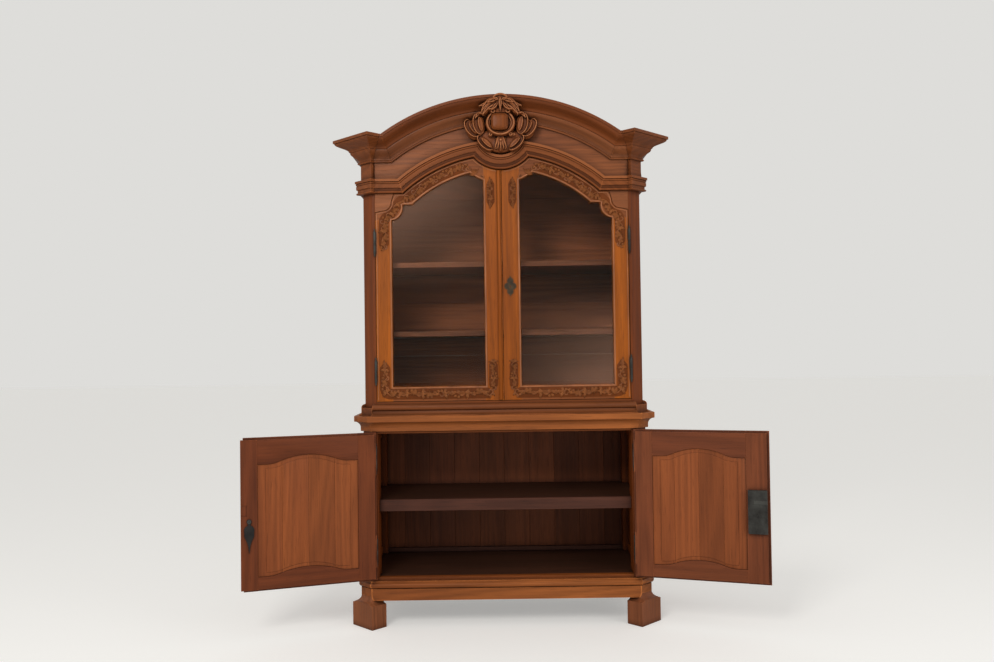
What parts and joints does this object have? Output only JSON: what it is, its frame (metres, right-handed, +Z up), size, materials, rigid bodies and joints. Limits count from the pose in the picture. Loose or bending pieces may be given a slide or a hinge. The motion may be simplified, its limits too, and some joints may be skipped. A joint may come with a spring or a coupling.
{
  "type": "glazed dresser",
  "caption": "Two-part oak display cabinet with an arched cornice, glazed doors above and open panelled doors below.",
  "frame": {"origin": "centre of the footprint of the whole object, its lower doors open as it is stored, on the floor", "axes": "+Z up, +Y from the front to the back, +X to the right of a person who faces the front"},
  "size_m": [2.2618, 0.763, 2.3675],
  "materials": {
    "oak": "satin",
    "oak_door": "satin",
    "oak_panel": "satin",
    "oak_inside": "satin",
    "oak_edge": "satin",
    "oak_carved": "satin",
    "iron": "satin",
    "bronze": "satin",
    "glass": "gloss"
  },
  "bodies": {
    "cabinet": {"front_feet": "oak", "rear_feet": "oak", "lower_posts": "oak", "lower_side_rails": "oak", "lower_side_panels": "oak", "lower_front_rails": "oak", "base_moulding": "oak", "bottom_board": "oak_inside", "middle_shelf": "oak_inside", "shelf_lip": "oak_edge", "lower_battens": "oak_inside", "lower_back_boards": "oak_inside", "lower_top_board": "oak", "waist_moulding": "oak", "lower_hinge_pins": "iron", "upper_base_moulding": "oak", "upper_posts": "oak", "upper_side_rails": "oak", "upper_side_panels": "oak", "upper_bottom_rail": "oak", "upper_floor_board": "oak_inside", "upper_shelves": "oak_inside", "upper_bearers": "oak_inside", "upper_back_boards": "oak_inside", "roof_board": "oak_inside", "head_board": "oak", "architrave": "oak", "bed_moulding": "oak", "crown_moulding": "oak", "corner_blocks": "oak", "side_cornices": "oak", "cartouche": "oak_carved", "upper_hinge_pins": "iron"},
    "lower_left_door": {"lower_left_stiles": "oak_door", "lower_left_rails": "oak_door", "lower_left_panel": "oak_panel", "lower_left_ironwork": "iron"},
    "leaf_latch": {"leaf_latch": "iron"},
    "lower_right_door": {"lower_right_stiles": "oak_door", "lower_right_rails": "oak_door", "lower_right_panel": "oak_panel", "lower_right_knuckles": "iron", "lower_lock_case": "iron"},
    "lower_lock_bolt": {"lower_lock_bolt": "iron"},
    "upper_left_door": {"upper_left_stiles": "oak_carved", "upper_left_rails": "oak_carved", "upper_left_glass": "glass", "upper_left_beads": "oak", "upper_left_ironwork": "iron"},
    "upper_foot_bolt": {"upper_foot_bolt": "iron"},
    "upper_right_door": {"upper_right_stiles": "oak_carved", "upper_right_rails": "oak_carved", "upper_right_glass": "glass", "upper_right_beads": "oak", "upper_right_knuckles": "iron", "upper_lock_case": "iron", "upper_escutcheon": "bronze"},
    "upper_lock_bolt": {"upper_lock_bolt": "iron"}
  },
  "joints": [
    {"name": "lower_left_hinge", "type": "hinge", "parent": "cabinet", "child": "lower_left_door", "pos_m": [-0.578, -0.16753, 0.541], "axis": [0, 0, 1], "range_deg": [-13, 162]},
    {"name": "lower_right_hinge", "type": "hinge", "parent": "cabinet", "child": "lower_right_door", "pos_m": [0.578, -0.16753, 0.541], "axis": [0, 0, 1], "range_deg": [-162, 13]},
    {"name": "upper_left_hinge", "type": "hinge", "parent": "cabinet", "child": "upper_left_door", "pos_m": [-0.573, -0.16553, 1.43], "axis": [0, 0, 1], "range_deg": [-165, 0]},
    {"name": "upper_right_hinge", "type": "hinge", "parent": "cabinet", "child": "upper_right_door", "pos_m": [0.573, -0.16553, 1.43], "axis": [0, 0, 1], "range_deg": [0, 165]},
    {"name": "leaf_latch_turn", "type": "hinge", "parent": "lower_left_door", "child": "leaf_latch", "pos_m": [-1.09343, -0.36023, 0.514], "axis": [0.309, -0.9511, 0], "range_deg": [-80, 80]},
    {"name": "lower_bolt_slide", "type": "slide", "parent": "lower_right_door", "child": "lower_lock_bolt", "axis": [0.9511, -0.309, 0], "range_m": [0, 0.012]},
    {"name": "upper_bolt_slide", "type": "slide", "parent": "upper_right_door", "child": "upper_lock_bolt", "axis": [-1, 0, 0], "range_m": [0, 0.012]},
    {"name": "foot_bolt_slide", "type": "slide", "parent": "upper_left_door", "child": "upper_foot_bolt", "axis": [0, 0, -1], "range_m": [0, 0.02]}
  ]
}
